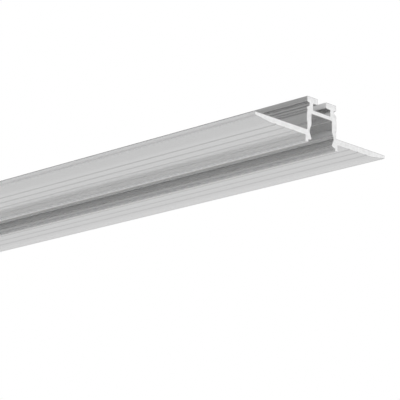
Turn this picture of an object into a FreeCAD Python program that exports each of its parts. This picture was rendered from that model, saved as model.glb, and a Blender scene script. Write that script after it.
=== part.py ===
import FreeCAD, Part
import math
import os

# Plaster-in profile for an LED strip: one aluminium extrusion, sawn square at both ends.
# X runs across the section, Y along the length and Z up, towards the ceiling board.
# The origin is at the middle of the length and of the width, level with the two plaster lips.
# All sizes are in millimetres. The section is symmetrical, so each size serves both sides.

# Stock length
length = 1000.0

# Channel for the strip, open downwards between two walls
channel_width = 8.3
channel_depth = 8.15
wall_thickness = 1.85
web_thickness = 1.2
bed_corner_radius = 0.3

# Flanges that the plaster covers, thinned towards the tips
flange_width = 20.4
flange_thickness = 1.75
flange_tip_thickness = 0.95
flange_taper_length = 5.8
flange_taper_radius = 8.0
flange_tip_radius = 0.35
flange_edge_radius = 0.15

# Keying grooves in the flange undersides, as many as the flat part takes from the setback out
key_groove_setback = 5.4
key_groove_pitch = 3.5
key_groove_width = 0.6
key_groove_depth = 0.22

# Lips that the plaster is drawn flush with
lip_depth = 1.8
lip_thickness = 1.2
lip_overhang = 0.6
lip_edge_radius = 0.2
lip_root_radius = 0.05

# Noses that hold the cover, and the snap groove above each one
nose_height = 1.05
nose_land = 0.4
nose_underside_drop = 0.4
nose_radius = 0.2
snap_depth = 0.7
snap_foot_rise = 1.5
snap_floor = 0.55
snap_lead_rise = 1.5
snap_lead_radius = 0.5
snap_radius = 0.8

# Outer face of each wall: a shallow relief at the foot and a saw-tooth marking line
foot_relief_depth = 0.15
foot_relief_height = 2.0
foot_radius = 0.3
mark_depth = 0.23
mark_ramp = 0.85
mark_undercut = 0.15
shoulder_land = 0.6
shoulder_above_web = 0.4
shoulder_rise = 0.7
shoulder_radius = 0.2

# T-shaped heads on narrower necks, with the hanger slot between and under them
neck_setback = 1.0
neck_thickness = 1.55
neck_root_radius = 0.15
slot_height = 1.75
head_gap = 3.3
head_overhang = 0.9
head_thickness = 1.75
head_chamfer = 0.35
head_edge_radius = 0.12

# No rounding takes more than this share of the shorter straight beside it
rounding_share = 0.45

# Half widths worked out from the sizes above
half_channel = channel_width / 2
half_body = half_channel + wall_thickness
half_lip = half_body + lip_overhang
half_flange = half_body + flange_width
half_neck = half_body - neck_setback
half_head = half_neck + head_overhang
half_gap = head_gap / 2
half_slot = half_neck - neck_thickness

# Levels above the lips worked out from the sizes above
flange_under = lip_depth
flange_top = flange_under + flange_thickness
web_top = channel_depth + web_thickness
snap_floor_bottom = nose_height + nose_land + snap_foot_rise
snap_floor_top = snap_floor_bottom + snap_floor
shoulder_level = web_top + shoulder_above_web
head_under = web_top + slot_height
head_top = head_under + head_thickness


def channel_corners():
    """Strip bed, snap groove and nose: corners of the channel's right side, from the bed down."""
    return [
        (half_channel, channel_depth, bed_corner_radius),
        (half_channel, snap_floor_top + snap_lead_rise, snap_lead_radius),
        (half_channel + snap_depth, snap_floor_top, snap_radius),
        (half_channel + snap_depth, snap_floor_bottom, snap_radius),
        (half_channel, nose_height + nose_land, nose_radius),
        (half_channel, nose_height, nose_radius),
    ]


def lip_corners():
    """Plaster lip, from the nose's underside round to the root under the flange."""
    return [
        (half_lip - lip_thickness, nose_height - nose_underside_drop, lip_edge_radius),
        (half_lip - lip_thickness, 0.0, lip_edge_radius),
        (half_lip, 0.0, lip_edge_radius),
        (half_lip, flange_under, lip_root_radius),
    ]


def key_groove_corners():
    """V grooves spaced out over the flat part of a flange's underside."""
    first = half_body + key_groove_setback
    last = half_flange - flange_taper_length - key_groove_width
    count = int((last - first) // key_groove_pitch) + 1
    corners = []
    for index in range(count):
        middle = first + index * key_groove_pitch
        corners.append((middle - key_groove_width / 2, flange_under, 0.0))
        corners.append((middle, flange_under + key_groove_depth, 0.0))
        corners.append((middle + key_groove_width / 2, flange_under, 0.0))
    return corners


def flange_tip_corners():
    """Taper of the underside and the blunt tip of a flange."""
    return [
        (half_flange - flange_taper_length, flange_under, flange_taper_radius),
        (half_flange, flange_top - flange_tip_thickness, flange_tip_radius),
        (half_flange, flange_top, flange_edge_radius),
    ]


def wall_corners():
    """Outer face of a wall, from its foot on the flange up to the neck."""
    foot = half_body - foot_relief_depth
    relief_top = flange_top + foot_relief_height
    mark_top = shoulder_level - shoulder_land
    mark_root = mark_top - mark_undercut
    return [
        (foot, flange_top, foot_radius),
        (foot, relief_top, 0.0),
        (half_body, relief_top, 0.0),
        (half_body, mark_root - mark_ramp, 0.0),
        (half_body - mark_depth, mark_root, 0.0),
        (half_body, mark_top, 0.0),
        (half_body, shoulder_level, shoulder_radius),
        (half_neck, shoulder_level + shoulder_rise, shoulder_radius),
    ]


def head_corners():
    """T-shaped head, from the neck's outer side over the top and down into the hanger slot."""
    return [
        (half_neck, head_under, neck_root_radius),
        (half_head - head_chamfer, head_under, head_edge_radius),
        (half_head, head_under + head_chamfer, head_edge_radius),
        (half_head, head_top, head_edge_radius),
        (half_gap, head_top, head_edge_radius),
        (half_gap, head_under + head_chamfer, head_edge_radius),
        (half_gap + head_chamfer, head_under, head_edge_radius),
        (half_slot, head_under, neck_root_radius),
        (half_slot, web_top, neck_root_radius),
    ]


def rounded_corner(before, corner, after, radius):
    """Start, middle and end of the arc that rounds a corner, or the corner itself if it is sharp."""
    if radius == 0:
        return [corner]
    back = before - corner
    onward = after - corner
    room = rounding_share * min(back.Length, onward.Length)
    back.normalize()
    onward.normalize()
    half_angle = back.getAngle(onward) / 2
    reach = min(radius / math.tan(half_angle), room)
    arc_radius = reach * math.tan(half_angle)
    inward = (back + onward).normalize()
    middle = corner + inward * (arc_radius / math.sin(half_angle) - arc_radius)
    return [corner + back * reach, middle, corner + onward * reach]


def section_face(corners, y):
    """Flat face of the section at one station along the length."""
    points = [FreeCAD.Vector(x, y, z) for x, z, radius in corners]
    turns = []
    for index, (x, z, radius) in enumerate(corners):
        after = points[(index + 1) % len(points)]
        turns.append(rounded_corner(points[index - 1], points[index], after, radius))
    edges = []
    for index, turn in enumerate(turns):
        edges.append(Part.makeLine(turns[index - 1][-1], turn[0]))
        if len(turn) == 3:
            edges.append(Part.Arc(*turn).toShape())
    return Part.Face(Part.Wire(edges))


def profile():
    """The whole extrusion: the closed section carried along its length."""
    right = channel_corners() + lip_corners() + key_groove_corners() + flange_tip_corners()
    right += wall_corners() + head_corners()
    left = [(-x, z, radius) for x, z, radius in reversed(right)]
    face = section_face(right + left, -length / 2)
    return face.extrude(FreeCAD.Vector(0, length, 0))


solid = profile()
os.makedirs("parts", exist_ok=True)
solid.exportStep("parts/profile.step")

box = solid.BoundBox
print("profile valid:", solid.isValid(), "solids:", len(solid.Solids), "faces:", len(solid.Faces))
print("size mm:", round(box.XLength, 3), round(box.YLength, 3), round(box.ZLength, 3))
print("section mm2:", round(solid.Volume / length, 2))
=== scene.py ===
# %% [markdown]
# # Plaster-in aluminium profile for an LED strip
# The real thing is one bar of aluminium, pressed through a die and sawn square. Everything that
# one sees on it is either die-drawn skin, with fine lines along the length, or sawn metal at an
# end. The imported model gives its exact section, so this script reads the section from there,
# carries it along the bar again with finer edges, and spends the rest on the two finishes.

import math

import bpy
import numpy as np
from mathutils import Matrix, Vector


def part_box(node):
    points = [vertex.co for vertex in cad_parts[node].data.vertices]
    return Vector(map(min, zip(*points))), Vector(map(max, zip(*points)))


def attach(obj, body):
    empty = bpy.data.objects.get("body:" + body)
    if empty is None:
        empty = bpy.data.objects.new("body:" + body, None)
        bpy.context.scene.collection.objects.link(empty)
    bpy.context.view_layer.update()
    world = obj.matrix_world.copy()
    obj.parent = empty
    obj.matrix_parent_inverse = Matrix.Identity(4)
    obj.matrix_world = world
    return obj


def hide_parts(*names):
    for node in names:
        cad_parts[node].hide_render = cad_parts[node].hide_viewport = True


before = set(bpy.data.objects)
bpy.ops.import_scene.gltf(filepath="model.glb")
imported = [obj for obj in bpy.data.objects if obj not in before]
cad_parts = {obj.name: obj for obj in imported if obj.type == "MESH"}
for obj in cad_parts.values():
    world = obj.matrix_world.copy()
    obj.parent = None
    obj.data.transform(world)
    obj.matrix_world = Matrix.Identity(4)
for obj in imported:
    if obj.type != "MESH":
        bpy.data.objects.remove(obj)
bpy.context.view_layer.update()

scene = bpy.context.scene
scene.view_settings.view_transform = "Standard"

MM = 0.001
low, high = (np.array(corner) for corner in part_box("profile"))
width, length, height = high - low
print(f"bar {width / MM:.2f} x {length / MM:.1f} x {height / MM:.2f} mm")

# %% [markdown]
# ## The camera
# The photograph looks up along the bar from below and to its left, with a long lens. A camera is
# easiest to set from the way it faces: a heading and a tilt give the forward direction, and a
# small roll finishes the turn. Its place then follows from one point that is easy to find in the
# picture, the middle of the near end level with the flanges, and how far off that point is.

# %% Camera
photo_side_px = 400
focal_length_px = 2075.3
sensor_width_mm = 36.0
nearest_seen = 0.01
farthest_seen = 60
heading, tilt, roll = (math.radians(angle) for angle in (45.76, 15.57, 0.94))
near_middle = Vector((0, low[1], 3.42 * MM))
near_middle_px = (321.8, 134.5)
near_middle_depth = 0.553

level_share = math.cos(tilt)
forward = Vector((math.sin(heading) * level_share, math.cos(heading) * level_share, math.sin(tilt)))
level_right = forward.cross(Vector((0, 0, 1))).normalized()
level_up = level_right.cross(forward)
right = level_right * math.cos(roll) + level_up * math.sin(roll)
up = level_up * math.cos(roll) - level_right * math.sin(roll)

across, down = ((at - photo_side_px / 2) / focal_length_px for at in near_middle_px)
place = near_middle - (forward + right * across - up * down) * near_middle_depth

camera_data = bpy.data.cameras.new("camera")
camera_data.sensor_width = sensor_width_mm
camera_data.lens = sensor_width_mm * focal_length_px / photo_side_px
camera_data.clip_start, camera_data.clip_end = nearest_seen, farthest_seen
camera = bpy.data.objects.new("camera", camera_data)
camera.matrix_world = Matrix.Translation(place) @ Matrix((right, up, -forward)).transposed().to_4x4()
scene.collection.objects.link(camera)
scene.camera = camera
print("camera at", [round(c, 4) for c in place], "lens", round(camera_data.lens, 1))

# %% [markdown]
# ## The section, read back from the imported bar
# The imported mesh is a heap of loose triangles. The ones that lie flat on the near end tile the
# section, and every edge that only one of them has is a piece of the outline. Such edges know
# which corner follows which, so the corners can be put in order without walking them one by one:
# corner i is i steps on from the start, and any number of steps is a sum of powers of two.

# %% Outline of the section
microns_per_metre = 1e6


def loose_triangles(mesh):
    """Corner places in micrometres, one row for each different corner, and the triangles between them."""
    places = np.empty(len(mesh.vertices) * 3, np.float32)
    mesh.vertices.foreach_get("co", places)
    corners = np.empty(len(mesh.polygons) * 3, np.int32)
    mesh.polygons.foreach_get("vertices", corners)
    rounded = np.rint(places.reshape(-1, 3) * microns_per_metre).astype(int)
    merged, names = np.unique(rounded, axis=0, return_inverse=True)
    return merged, names.ravel()[corners].reshape(-1, 3)


def in_walking_order(follower):
    """Corners in the order that they follow each other: i steps are the powers of two that sum to i."""
    steps = np.arange(len(follower))
    reached = np.zeros_like(steps)
    leap = follower
    for power in range(len(follower).bit_length()):
        reached = np.where(steps >> power & 1, leap[reached], reached)
        leap = leap[leap]
    return reached


def section(mesh):
    """Outline of the near end, as x and z in metres with the metal on the left of the walk, and the
    triangles that tile it, which number their corners as the outline does."""
    places, triangles = loose_triangles(mesh)
    end = triangles[(places[triangles][:, :, 1] == places[:, 1].min()).all(1)]
    edges = np.concatenate([end[:, [0, 1]], end[:, [1, 2]], end[:, [2, 0]]])
    count = len(places)
    single = ~np.isin(edges @ [count, 1], edges @ [1, count])
    start, finish = edges[single].T
    used, follower = np.unique(start, return_index=True)
    order = used[in_walking_order(np.searchsorted(used, finish[follower]))]
    place_in_outline = np.empty(count, int)
    place_in_outline[order] = np.arange(len(order))
    return places[order][:, [0, 2]] / microns_per_metre, place_in_outline[end]


plain_outline, plain_tiles = section(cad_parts["profile"].data)
print("outline corners", len(plain_outline), "tiles", len(plain_tiles))
print("section width mm", np.ptp(plain_outline[:, 0]) / MM)

# %% Finer outline
corner_gap = 0.3 * MM


def with_finer_straights(points, tiles, gap):
    """The outline with extra corners on each piece that is longer than the gap, evenly spaced, and the
    tiles numbered anew: corner k of a piece cut into n parts stands at its start + k / n of the way."""
    onward = np.roll(points, -1, 0) - points
    parts = np.ceil(np.linalg.norm(onward, axis=1) / gap).astype(int)
    first = np.concatenate([[0], np.cumsum(parts)])
    piece = np.repeat(np.arange(len(points)), parts)
    share = (np.arange(first[-1]) - first[piece]) / parts[piece]
    return points[piece] + onward[piece] * share[:, None], first[tiles]


outline, tiles = with_finer_straights(plain_outline, plain_tiles, corner_gap)
print("corners with finer straights", len(outline))

# %% [markdown]
# ## The bar
# A bar is its outline carried along a straight path: one grid, with the outline across and the
# stations along. Two extra stations at each end pull the outline in a little. Going outwards, the
# first makes the tiny rounding that is left when the burr is brushed off, and the second marks out
# a narrow ring on the cut face, which is painted darker as shade along that rounded edge. The
# section's own triangles then close each end.

# %% Bar surface
edge_break = 0.03 * MM
rim_width = 0.12 * MM
station_gap = 50 * MM


def turned_right(vectors):
    """Each vector turned a quarter turn clockwise: (x, z) becomes (z, -x)."""
    return np.stack([vectors[:, 1], -vectors[:, 0]], 1)


def pulled_in(points, distance):
    """The outline moved into the metal by a distance: each corner slides along its mitre, which is the
    sum of the two outward normals over one plus their product."""
    onward = np.roll(points, -1, 0) - points
    outward = turned_right(onward / np.linalg.norm(onward, axis=1, keepdims=True))
    before = np.roll(outward, 1, 0)
    mitre = (outward + before) / (1 + (outward * before).sum(1, keepdims=True))
    return points - distance * mitre


half_length = length / 2
last_whole = half_length - edge_break
middle_stations = np.linspace(-last_whole, last_whole, round(length / station_gap) + 1)
station_y = np.concatenate([[-half_length] * 2, middle_stations, [half_length] * 2])
station_inset = np.zeros(len(station_y))
station_inset[[0, -1]] = rim_width
station_inset[[1, -2]] = edge_break
rings = {inset: pulled_in(outline, inset) for inset in np.unique(station_inset)}

grid = np.empty((len(station_y), len(outline), 3))
grid[:, :, 1] = station_y[:, None]
grid[:, :, [0, 2]] = np.stack([rings[inset] for inset in station_inset])
print("grid", grid.shape[:2], "stations by corners")

# %% Bar mesh
stations, corners = grid.shape[:2]
names = np.arange(stations * corners).reshape(stations, corners)
following = np.roll(names, -1, 1)
sides = np.stack([names[:-1], names[1:], following[1:], following[:-1]], -1).reshape(-1, 4)
ends = np.concatenate([names[0][tiles], names[-1][tiles[:, ::-1]]])

bar_mesh = bpy.data.meshes.new("aluminium_bar")
bar_mesh.from_pydata(grid.reshape(-1, 3), [], sides.tolist() + ends.tolist())
bar_mesh.validate()
bar = bpy.data.objects.new("aluminium_bar", bar_mesh)
scene.collection.objects.link(bar)
print("faces", len(bar_mesh.polygons))

# %% [markdown]
# ## Creases
# The bar has soft roundings and sharp corners side by side. A rounding comes as many small turns
# and a sharp corner as one large one, so an edge is marked as sharp where the outline turns by
# more than the crease angle, and also all round the cut. Elsewhere the shading is smooth, and
# weighted normals let a wide face stay flat right up to the rounding beside it.

# %% Creases
crease_angle = math.radians(12.5)
flat_face_pull = 100


def turning(points):
    """Angle by which the outline turns at each corner."""
    onward = np.roll(points, -1, 0) - points
    heading = np.arctan2(onward[:, 1], onward[:, 0])
    return (heading - np.roll(heading, 1) + math.pi) % (2 * math.pi) - math.pi


is_crease = np.zeros(stations * corners, bool)
is_crease[names[:, np.abs(turning(outline)) > crease_angle]] = True
edge_ends = np.empty(len(bar_mesh.edges) * 2, np.int32)
bar_mesh.edges.foreach_get("vertices", edge_ends)
edge_ends = edge_ends.reshape(-1, 2)
same_corner = edge_ends[:, 0] % corners == edge_ends[:, 1] % corners
edge_station = edge_ends // corners
same_station = edge_station[:, 0] == edge_station[:, 1]
at_cut = np.isin(edge_station, [0, 1, 2, stations - 3, stations - 2, stations - 1]).all(1)
sharp = (same_corner & is_crease[edge_ends].all(1)) | (at_cut & same_station)

bar_mesh.shade_smooth()
bar_mesh.attributes.new("sharp_edge", "BOOLEAN", "EDGE").data.foreach_set("value", sharp)
flats = bar.modifiers.new("flats_stay_flat", "WEIGHTED_NORMAL")
flats.mode, flats.weight, flats.keep_sharp = "FACE_AREA", flat_face_pull, True
print("crease edges", int(sharp.sum()))

# %% [markdown]
# ## Masks and a map for the finishes
# A few things about a spot on the bar decide how it looks: whether it is on the sawn end or on the
# ring round the cut that is painted darker as shade, how much painted shade it gets, how much
# painted light it gets, and where it is across the unrolled skin, because each die line keeps its
# place across while it runs along. All but the last are face attributes, worked out from the outline
# and repeated along the bar, and the map holds the distance round the outline and the distance along
# the bar.

# %% Sawn ends and their rims
row = np.repeat(np.arange(stations - 1), corners)
on_rim = np.isin(row, [0, stations - 2])


def put_mask(name, on_sides, on_ends):
    """Writes a face attribute: one value for each face of the skin, and one for all of both ends."""
    values = np.concatenate([on_sides, np.full(len(ends), on_ends)]).astype(np.float32)
    bar_mesh.attributes.new(name, "FLOAT", "FACE").data.foreach_set("value", values)
    print(name, "on", int(np.count_nonzero(values)), "faces")


# The rim mask marks a ring round each cut that is painted darker, as shade along its rounded edge.
put_mask("rim", on_rim, 0)
put_mask("sawn", on_rim, 1)

# %% Where each face lies
onward = np.roll(outline, -1, 0) - outline
face_width = np.linalg.norm(onward, axis=1)
face_level = outline[:, 1] + onward[:, 1] / 2
off_centre = np.abs(outline[:, 0] + onward[:, 0] / 2)
facing_down = (onward[:, 0] / face_width).clip(0)
print("widest face mm", round(float(face_width.max()) / MM, 2))

# %% Unrolled map
round_outline = np.concatenate([[0], np.cumsum(face_width)])
column = np.tile(np.arange(corners), stations - 1)
around = round_outline[np.stack([column, column, column + 1, column + 1], 1)]
along = (station_y + half_length)[np.stack([row, row + 1, row + 1, row], 1)]
side_map = np.stack([around, along], -1).reshape(-1, 2)
end_map = grid.reshape(-1, 3)[ends.ravel()][:, [0, 2]]
unrolled = bar_mesh.uv_layers.new(name="unrolled_skin")
unrolled.uv.foreach_set("vector", np.concatenate([side_map, end_map]).astype(np.float32).ravel())
print("unrolled skin", round(float(round_outline[-1]) / MM, 1), "mm round")

# %% [markdown]
# ## Painted shade in the corners
# The skin is painted darker where shade falls: in the corners above the web, round the necks and
# under the heads. Two things decide how much: how hemmed in a face is by its neighbours, and how
# much it looks down. Soft lines of painted shade also run along the walls at small steps: in the
# root of the snap groove, on the nose, over the marking line and at the relief's top. Each line is
# given by how much shade it has, the side of the section that it lies on, and its level and its
# reach in millimetres.

# %% How hemmed in a face is
shelter_reach = 1.0 * MM
shelter_rays = 32
nearest_met = 0.01 * MM
never_zero = 1e-15


def crossed(first, second):
    """Cross product of vectors in the plane: x1 z2 - z1 x2."""
    return first[..., 0] * second[..., 1] - first[..., 1] * second[..., 0]


def shelter(points, blockers, reach, rays):
    """How hemmed in each piece of the outline is: looking out from its middle over the half plane in
    front of it, the cosine-weighted mean of 1 - distance / reach, where nothing beyond the reach counts.
    A ray from m along l meets the piece from b along p at the distance (b - m) x p / l x p, if
    0 <= (b - m) x l / l x p <= 1."""
    onward = np.roll(points, -1, 0) - points
    along_piece = onward / np.linalg.norm(onward, axis=1, keepdims=True)
    outward = turned_right(along_piece)
    block = np.roll(blockers, -1, 0) - blockers
    to_blocker = blockers[None] - (points + onward / 2)[:, None]
    hidden, weights = 0, 0
    for angle in np.linspace(-math.pi / 2, math.pi / 2, rays + 2)[1:-1]:
        look = math.cos(angle) * outward + math.sin(angle) * along_piece
        crossing = crossed(look[:, None], block[None]) + never_zero
        distance = crossed(to_blocker, block[None]) / crossing
        share = crossed(to_blocker, look[:, None]) / crossing
        met = (distance > nearest_met) & (share >= 0) & (share <= 1)
        nearest = np.where(met, distance, reach).min(1).clip(max=reach)
        hidden += math.cos(angle) * (1 - nearest / reach)
        weights += math.cos(angle)
    return hidden / weights


sheltered = shelter(outline, plain_outline, shelter_reach, shelter_rays)
print("shelter from", round(float(sheltered.min()), 3), "to", round(float(sheltered.max()), 3))

# %% Painted shade
web_level = 9.4 * MM
slot_side = 4.2 * MM
painted_shade_under = 0.18
groove_side = 4.5 * MM
wall_side = 6.0 * MM
side_reach = 0.45 * MM
painted_shade_lines = [
    (0.27, groove_side, 3.75, 0.2),
    (0.26, groove_side, 1.08, 0.35),
    (0.25, wall_side, 9.15, 0.3),
    (0.27, wall_side, 5.25, 0.3),
]


def line_along(side, level, reach):
    """A soft line along the bar, where a side face of the section is at a level: a bell curve of the
    height, 1 at the level and 1 / e at the reach from it, on the faces that lie near the side."""
    above = face_level - level
    return np.exp(-((above / reach) ** 2)) * (np.abs(off_centre - side) < side_reach)


def along_the_skin(values):
    """Values round the outline, repeated for each stretch of the bar and left off the rims round the
    cuts.
    """
    return np.tile(values, stations - 1) * ~on_rim


# Painted shade: faces round the heads darken by how hemmed in they are and how much they look down, and
# the lines darken soft bands along the walls.
head_region = (outline[:, 1] > web_level) & (off_centre > slot_side)
painted_shade = (sheltered + painted_shade_under * facing_down) * head_region
for amount, side, level, reach in painted_shade_lines:
    painted_shade += amount * line_along(side, level * MM, reach * MM)
put_mask("painted_shade", along_the_skin(painted_shade), 0)

# %% [markdown]
# ## Painted light on edges
# Some places are painted paler and made duller, as painted light: the tips of the flanges and the
# lips of the hanger slot. More softly it shows on the upper edge of the groove in each channel wall,
# and as a painted highlight on both lower edges of the plaster lips. These soft lines are given as
# the lines of painted shade are.

# %% Painted light on edges
tip_reach = 0.8 * MM
slot_lip = 1.8 * MM
lip_inside = 5.55 * MM
lip_outside = 6.75 * MM
painted_light_lines = [
    (0.5, groove_side, 4.95, 0.5),
    (0.8, lip_inside, 0.1, 0.35),
    (0.6, lip_outside, 0.05, 0.12),
]

# Painted light: the flange tips and the slot lips get it fully, and soft lines along some edges get a
# share.
at_tip = off_centre > width / 2 - tip_reach
at_slot = (off_centre < slot_lip) & (outline[:, 1] > web_level + slot_lip)
painted_light = (at_tip | at_slot).astype(float)
for amount, side, level, reach in painted_light_lines:
    painted_light += amount * line_along(side, level * MM, reach * MM)
put_mask("painted_light", along_the_skin(painted_light), 0)

# %% [markdown]
# ## One metal
# The skin is satin: pressing aluminium through a die gives it a soft gloss and lines along the
# length, each one as old as the bar. The sawn end has no direction, only fine tooth marks and
# grain. Painted shade darkens some of the skin, and painted light makes some edges paler and
# duller. All of it is one metal, so one shader serves, and the masks choose its colour, roughness
# and relief. Nodes are made by a few short helpers, so that a finish can be written like a sum.

# %% Node helpers


def add_node(tree, kind, **settings):
    """A node of a kind, with its settings written as they are named in Blender."""
    node = tree.nodes.new(kind)
    for name, value in settings.items():
        setattr(node, name, value)
    return node


def feed(tree, socket, source):
    """Joins a source to a socket: another socket is linked, and a plain value is written in."""
    if isinstance(source, bpy.types.NodeSocket):
        tree.links.new(source, socket)
    else:
        socket.default_value = source


def calculate(tree, operation, *values):
    """A Math node on one to three values or sockets."""
    node = add_node(tree, "ShaderNodeMath", operation=operation)
    for socket, value in zip(node.inputs, values):
        feed(tree, socket, value)
    return node.outputs[0]


def blend_of(tree, share, first, second, kind="FLOAT"):
    """Mix node: the first value where the share is 0, the second where it is 1."""
    node = add_node(tree, "ShaderNodeMix", data_type=kind)
    slots = {"FLOAT": (2, 3, 0), "RGBA": (6, 7, 2)}[kind]
    feed(tree, node.inputs[0], share)
    feed(tree, node.inputs[slots[0]], first)
    feed(tree, node.inputs[slots[1]], second)
    return node.outputs[slots[2]]


def eased(tree, value, start, finish, low_value, high_value, easing="SMOOTHSTEP"):
    """Map Range node: the low value up to the start, the high value from the finish on, eased between."""
    node = add_node(tree, "ShaderNodeMapRange", interpolation_type=easing)
    for socket, source in zip(node.inputs, (value, start, finish, low_value, high_value)):
        feed(tree, socket, source)
    return node.outputs[0]


def noise(tree, place, fineness, detail, dimensions="3D"):
    """Noise node that reads a place: the fineness multiplies the place, and each step of detail adds a
    layer twice as fine."""
    node = add_node(tree, "ShaderNodeTexNoise", noise_dimensions=dimensions)
    feed(tree, node.inputs["Vector"], place)
    feed(tree, node.inputs["Scale"], fineness)
    feed(tree, node.inputs["Detail"], detail)
    return node.outputs["Fac"]


def new_group(name, inputs, outputs):
    """An empty shader node group with its named sockets."""
    tree = bpy.data.node_groups.new(name, "ShaderNodeTree")
    for socket_name, kind in inputs.items():
        tree.interface.new_socket(socket_name, in_out="INPUT", socket_type=kind)
    for socket_name, kind in outputs.items():
        tree.interface.new_socket(socket_name, in_out="OUTPUT", socket_type=kind)
    return tree, add_node(tree, "NodeGroupInput"), add_node(tree, "NodeGroupOutput")


print("helpers for math, blends, easing, noise and groups")

# %% [markdown]
# ## Die lines
# A scratch in the die draws a line on the skin for as long as the bar runs. Noise that is
# stretched along the bar looks like that. It comes in three kinds, broad bands, single lines and
# hairs, each given by how many there are to a millimetre across, and by its wander, which is how
# many times it changes in a metre along.

# %% Die lines
noise_range = (0.35, 0.65)
line_detail = 2
band_spread = (0.35, 0.4)
line_spread = (1.6, 1)
hair_spread = (9, 5)
line_share = 0.5
hair_share = 0.3


def lines_across(tree, across, along, lines_per_mm, wander):
    """Noise that varies across the skin and hardly along it: its first coordinate is the distance across
    times the lines to a unit, and its second is the distance along times the small wander."""
    place = add_node(tree, "ShaderNodeCombineXYZ")
    feed(tree, place.inputs["X"], calculate(tree, "MULTIPLY", across, lines_per_mm / MM))
    feed(tree, place.inputs["Y"], calculate(tree, "MULTIPLY", along, wander))
    return noise(tree, place.outputs[0], 1, line_detail, "2D")


def die_lines_group():
    """Height and tone of the die's lines: broad bands, single lines and a fine hairline texture."""
    tree, given, made = new_group(
        "die_lines",
        {"Across": "NodeSocketFloat", "Along": "NodeSocketFloat"},
        {"Height": "NodeSocketFloat", "Tone": "NodeSocketFloat"},
    )
    across, along = given.outputs["Across"], given.outputs["Along"]
    bands = lines_across(tree, across, along, *band_spread)
    lines = lines_across(tree, across, along, *line_spread)
    hairs = lines_across(tree, across, along, *hair_spread)
    tone = blend_of(tree, line_share, bands, lines)
    feed(tree, made.inputs["Height"], blend_of(tree, hair_share, lines, hairs))
    feed(tree, made.inputs["Tone"], eased(tree, tone, *noise_range, 0, 1, "LINEAR"))
    return tree


die_lines = die_lines_group()
print(die_lines.name, "group of", len(die_lines.nodes), "nodes")

# %% [markdown]
# ## Saw grain
# A saw leaves the cut rough and a little mottled, with no direction at this distance. So two plain
# noises serve, a fine one for the grain and a wide one for the clouds in it.

# %% Saw grain
grain_per_mm = 1.6
grain_detail = 4
clouds_per_mm = 0.5
cloud_detail = 2
cloud_share = 0.4


def saw_grain_group():
    """Height and tone of a sawn face: grain about half a millimetre across and finer, in wide clouds."""
    tree, given, made = new_group(
        "saw_grain",
        {"Place": "NodeSocketVector"},
        {"Height": "NodeSocketFloat", "Tone": "NodeSocketFloat"},
    )
    grain = noise(tree, given.outputs["Place"], grain_per_mm / MM, grain_detail)
    clouds = noise(tree, given.outputs["Place"], clouds_per_mm / MM, cloud_detail)
    mottle = blend_of(tree, cloud_share, grain, clouds)
    feed(tree, made.inputs["Height"], grain)
    feed(tree, made.inputs["Tone"], eased(tree, mottle, *noise_range, 0, 1, "LINEAR"))
    return tree


saw_grain = saw_grain_group()
print(saw_grain.name, "group of", len(saw_grain.nodes), "nodes")

# %% [markdown]
# ## The two finishes
# Each finish is a handful of values that vary over the metal: a colour, a roughness, a relief and,
# on the skin, the share of bare metal. They are made apart, and the shader takes the skin's or the
# sawn end's, as the mask says.

# %% Finish of the skin
skin_shades = (0.91, 0.97)
skin_roughness = (0.22, 0.27)
# Painted shade: the dark grey that darkens the corners and lines of the skin.
painted_shade_tone = 0.1
painted_shade_limits = (0.08, 0.5)
painted_shade_share = 0.6
# Painted light: a paler grey, rougher and less metallic, on the flange tips, slot lips and some edges.
painted_light_shade = 0.85
painted_light_roughness = 0.65
painted_light_metal = 0.3


def grey(shade):
    """A neutral colour of one lightness."""
    return (shade, shade, shade, 1)


def mask(tree, name):
    """A face attribute of the bar, as a value from 0 to 1."""
    return add_node(tree, "ShaderNodeAttribute", attribute_name=name).outputs["Fac"]


def skin_finish(tree):
    """Colour, share of metal, roughness and relief of the skin: the die lines' tone runs from one shade
    to another, painted shade darkens it, and painted light makes it paler and duller."""
    place = add_node(tree, "ShaderNodeSeparateXYZ")
    feed(tree, place.inputs[0], add_node(tree, "ShaderNodeUVMap", uv_map="unrolled_skin").outputs["UV"])
    lines = add_node(tree, "ShaderNodeGroup", node_tree=die_lines)
    feed(tree, lines.inputs["Across"], place.outputs["X"])
    feed(tree, lines.inputs["Along"], place.outputs["Y"])
    tone = lines.outputs["Tone"]

    # The first mask below is painted shade, the second painted light.
    painted_shade = eased(tree, mask(tree, "painted_shade"), *painted_shade_limits, 0, painted_shade_share)
    painted_light = mask(tree, "painted_light")
    colour = blend_of(tree, tone, *map(grey, skin_shades), "RGBA")
    colour = blend_of(tree, painted_shade, colour, grey(painted_shade_tone), "RGBA")
    colour = blend_of(tree, painted_light, colour, grey(painted_light_shade), "RGBA")
    metal = blend_of(tree, painted_light, 1, painted_light_metal)
    roughness = blend_of(tree, painted_light, blend_of(tree, tone, *skin_roughness), painted_light_roughness)
    return colour, metal, roughness, lines.outputs["Height"]


print("skin shades", skin_shades, "roughness", skin_roughness)

# %% Finish of the sawn ends
sawn_shades = (0.84, 1.0)
sawn_roughness = 0.55
# Painted shade: the darker grey of the ring round each cut.
rim_painted_shade = 0.5
rim_roughness = 0.5


def sawn_finish(tree):
    """Colour, roughness and relief of a sawn end: mottled by the grain, and darker on the rim round the
    cut, as painted shade.
    """
    grain = add_node(tree, "ShaderNodeGroup", node_tree=saw_grain)
    feed(tree, grain.inputs["Place"], add_node(tree, "ShaderNodeTexCoord").outputs["Object"])
    rim = mask(tree, "rim")
    colour = blend_of(tree, grain.outputs["Tone"], *map(grey, sawn_shades), "RGBA")
    colour = blend_of(tree, rim, colour, grey(rim_painted_shade), "RGBA")
    roughness = blend_of(tree, rim, sawn_roughness, rim_roughness)
    return colour, roughness, grain.outputs["Height"]


print("sawn shades", sawn_shades, "roughness", sawn_roughness)

# %% Aluminium
relief_strength = 0.25
relief_depth = 0.02 * MM


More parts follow.
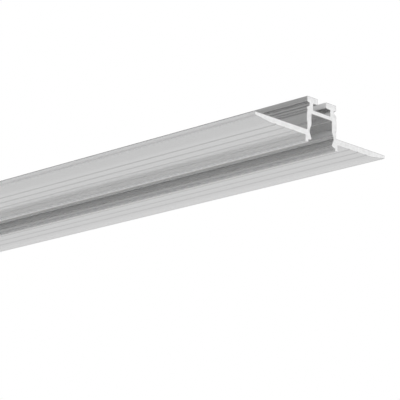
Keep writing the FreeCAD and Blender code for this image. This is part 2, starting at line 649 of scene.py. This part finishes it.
def aluminium():
    """One metal with two finishes: the sawn mask is 0 on the skin and 1 on the ends, and blends them."""
    material = bpy.data.materials.new("aluminium_satin_and_sawn")
    material.use_nodes = True
    tree = material.node_tree
    shader = tree.nodes["Principled BSDF"]
    sawn = mask(tree, "sawn")
    skin_colour, skin_metal, skin_gloss, skin_height = skin_finish(tree)
    sawn_colour, sawn_gloss, sawn_height = sawn_finish(tree)

    feed(tree, shader.inputs["Base Color"], blend_of(tree, sawn, skin_colour, sawn_colour, "RGBA"))
    feed(tree, shader.inputs["Metallic"], skin_metal)
    feed(tree, shader.inputs["Roughness"], blend_of(tree, sawn, skin_gloss, sawn_gloss))

    relief = add_node(tree, "ShaderNodeBump")
    feed(tree, relief.inputs["Strength"], relief_strength)
    feed(tree, relief.inputs["Distance"], relief_depth)
    feed(tree, relief.inputs["Height"], blend_of(tree, sawn, skin_height, sawn_height))
    feed(tree, shader.inputs["Normal"], relief.outputs["Normal"])
    return material


bar_mesh.materials.append(aluminium())
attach(bar, "root")
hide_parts("profile")
print(bar.name, "wears", bar_mesh.materials[0].name)

# %% [markdown]
# ## Floor, cards and light
# The bar is seen from below, so the floor lies well under it. Satin metal shows what stands round
# it, so the room is part of the finish. The surround is white and the floor pale, for the
# undersides of the flanges to mirror. Every face of the bar runs along its length, so a face's
# slope alone decides what it mirrors, and long cards beside the bar can give each slope its tone:
# a grey card on the left for the upright faces, a dark one under the bar for the channel, a low
# white one for the corners by the lips, and two above and on the right for the slot and the top.
# The cards are there for reflections only: no light falls on them or is held off by them elsewhere.

# %% Floor
floor_level = -0.22
floor_reach = 40.0
floor_shade = 0.71
matt_roughness = 0.9


def plain_material(name, shade):
    """A matt material of one grey, for things of the studio."""
    material = bpy.data.materials.new(name)
    material.use_nodes = True
    shader = material.node_tree.nodes["Principled BSDF"]
    shader.inputs["Base Color"].default_value = grey(shade)
    shader.inputs["Roughness"].default_value = matt_roughness
    shader.inputs["Specular IOR Level"].default_value = 0
    return material


def flat_sheet(name, corner, one_side, other_side, material):
    """A rectangle of the studio: a corner and the two sides that start there."""
    corner, one_side, other_side = map(np.array, (corner, one_side, other_side))
    mesh = bpy.data.meshes.new(name)
    points = np.array([corner, corner + one_side, corner + one_side + other_side, corner + other_side])
    mesh.from_pydata(points, [], [(0, 1, 2, 3)])
    mesh.materials.append(material)
    sheet = bpy.data.objects.new(name, mesh)
    scene.collection.objects.link(sheet)
    return sheet


floor = flat_sheet(
    "floor",
    (-floor_reach, -floor_reach, floor_level),
    (2 * floor_reach, 0, 0),
    (0, 2 * floor_reach, 0),
    plain_material("pale_floor", floor_shade),
)
print(floor.name, -floor_level, "m below the lips")

# %% [markdown]
# A card's shade may change across it. Its stops say where and how: each one is a place on an axis
# and the shade there, and the shade is eased from one stop to the next.

# %% Card on the left
card_start = -0.6
card_run = 4.0
ceiling_level = 1.0
side_card_x = -0.5
side_card_foot = 0.08
side_stops = [(0.25, 0.39), (0.5, 0.38), (0.95, 0.12)]


def graded_material(name, axis, stops):
    """A matt grey that changes along one axis: the first stop's shade, blended into each next one."""
    material = plain_material(name, 1)
    tree = material.node_tree
    place = add_node(tree, "ShaderNodeSeparateXYZ")
    feed(tree, place.inputs[0], add_node(tree, "ShaderNodeTexCoord").outputs["Object"])
    shade = stops[0][1]
    for (start, _), (finish, next_shade) in zip(stops, stops[1:]):
        shade = blend_of(tree, eased(tree, place.outputs[axis], start, finish, 0, 1), shade, next_shade)
    feed(tree, tree.nodes["Principled BSDF"].inputs["Base Color"], shade)
    return material


side_card = flat_sheet(
    "side_card",
    (side_card_x, card_start, side_card_foot),
    (0, card_run, 0),
    (0, 0, ceiling_level - side_card_foot),
    graded_material("side_card_grey", "Z", side_stops),
)
print(side_card.name, side_stops)

# %% Cards above and on the right
ceiling_start = -0.9
ceiling_run = 4.4
ceiling_width = 2.1
ceiling_stops = [(-0.28, 0.06), (-0.02, 0.85)]
far_card_x = 1.0
far_card_foot = 0.16
far_card_height = 0.55
far_card_shade = 0.3

ceiling_card = flat_sheet(
    "ceiling_card",
    (side_card_x, ceiling_start, ceiling_level),
    (0, ceiling_run, 0),
    (ceiling_width, 0, 0),
    graded_material("ceiling_card_grey", "X", ceiling_stops),
)
far_card = flat_sheet(
    "far_card",
    (far_card_x, card_start, far_card_foot),
    (0, card_run, 0),
    (0, 0, far_card_height),
    plain_material("far_card_grey", far_card_shade),
)
print(ceiling_card.name, ceiling_stops, far_card.name, far_card_shade)

# %% Cards on the floor
floor_card_left = -0.46
floor_card_width = 0.635
floor_card_lift = 0.002
floor_stops = [(-0.45, 0.9), (-0.41, 0.16), (-0.065, 0.19), (-0.052, 0.66), (0.05, 0.58), (0.09, 0.42)]
low_card_x = -0.52
low_card_height = 0.24
low_card_shade = 0.95

floor_card = flat_sheet(
    "floor_card",
    (floor_card_left, card_start, floor_level + floor_card_lift),
    (floor_card_width, 0, 0),
    (0, card_run, 0),
    graded_material("floor_card_grey", "X", floor_stops),
)
low_card = flat_sheet(
    "low_white_card",
    (low_card_x, card_start, floor_level),
    (0, card_run, 0),
    (0, 0, low_card_height),
    plain_material("card_white", low_card_shade),
)
print(floor_card.name, floor_stops, low_card.name, low_card_shade)

# %% Cards for reflections only
cards = [side_card, ceiling_card, far_card, floor_card, low_card]
for card in cards:
    card.visible_camera = False
    card.visible_diffuse = False
    card.visible_shadow = False
print("seen by reflections only:", [card.name for card in cards])

# %% [markdown]
# ## Surround and lamp
# The picture's white background is the world itself, which is white where the camera or the metal
# looks at it. As light it is a little greyer, so that nothing pale is burnt out. One large soft
# lamp overhead adds the faint shadow that sets the bar off from the floor.

# %% Surround
seen_white = 1.0
light_grey = 0.86


def surround(white, plain):
    """White where the camera, a reflection or a see-through surface looks, and a plain grey as light."""
    world = bpy.data.worlds.new("white_surround")
    world.use_nodes = True
    tree = world.node_tree
    ray = add_node(tree, "ShaderNodeLightPath")
    seen = calculate(tree, "MAXIMUM", ray.outputs["Is Camera Ray"], ray.outputs["Is Glossy Ray"])
    seen = calculate(tree, "MAXIMUM", seen, ray.outputs["Is Transmission Ray"])
    background = tree.nodes["Background"]
    feed(tree, background.inputs["Color"], blend_of(tree, seen, grey(plain), grey(white), "RGBA"))
    return world


scene.world = surround(seen_white, light_grey)
print(scene.world.name, "seen as", seen_white, "and lighting as", light_grey)

# %% Lamp
lamp_place = Vector((1.0, 0.3, 2.4))
lamp_aim = Vector((0.3, 0.3, 0))
lamp_side = 2.0
lamp_watts = 5

lamp_data = bpy.data.lights.new("overhead_lamp", "AREA")
lamp_data.shape, lamp_data.size, lamp_data.energy = "SQUARE", lamp_side, lamp_watts
lamp = bpy.data.objects.new("overhead_lamp", lamp_data)
lamp.location = lamp_place
lamp.rotation_mode = "QUATERNION"
lamp.rotation_quaternion = (lamp_aim - lamp_place).to_track_quat("-Z", "Y")
scene.collection.objects.link(lamp)
print(lamp.name, lamp_watts, "W,", lamp_side, "m square")
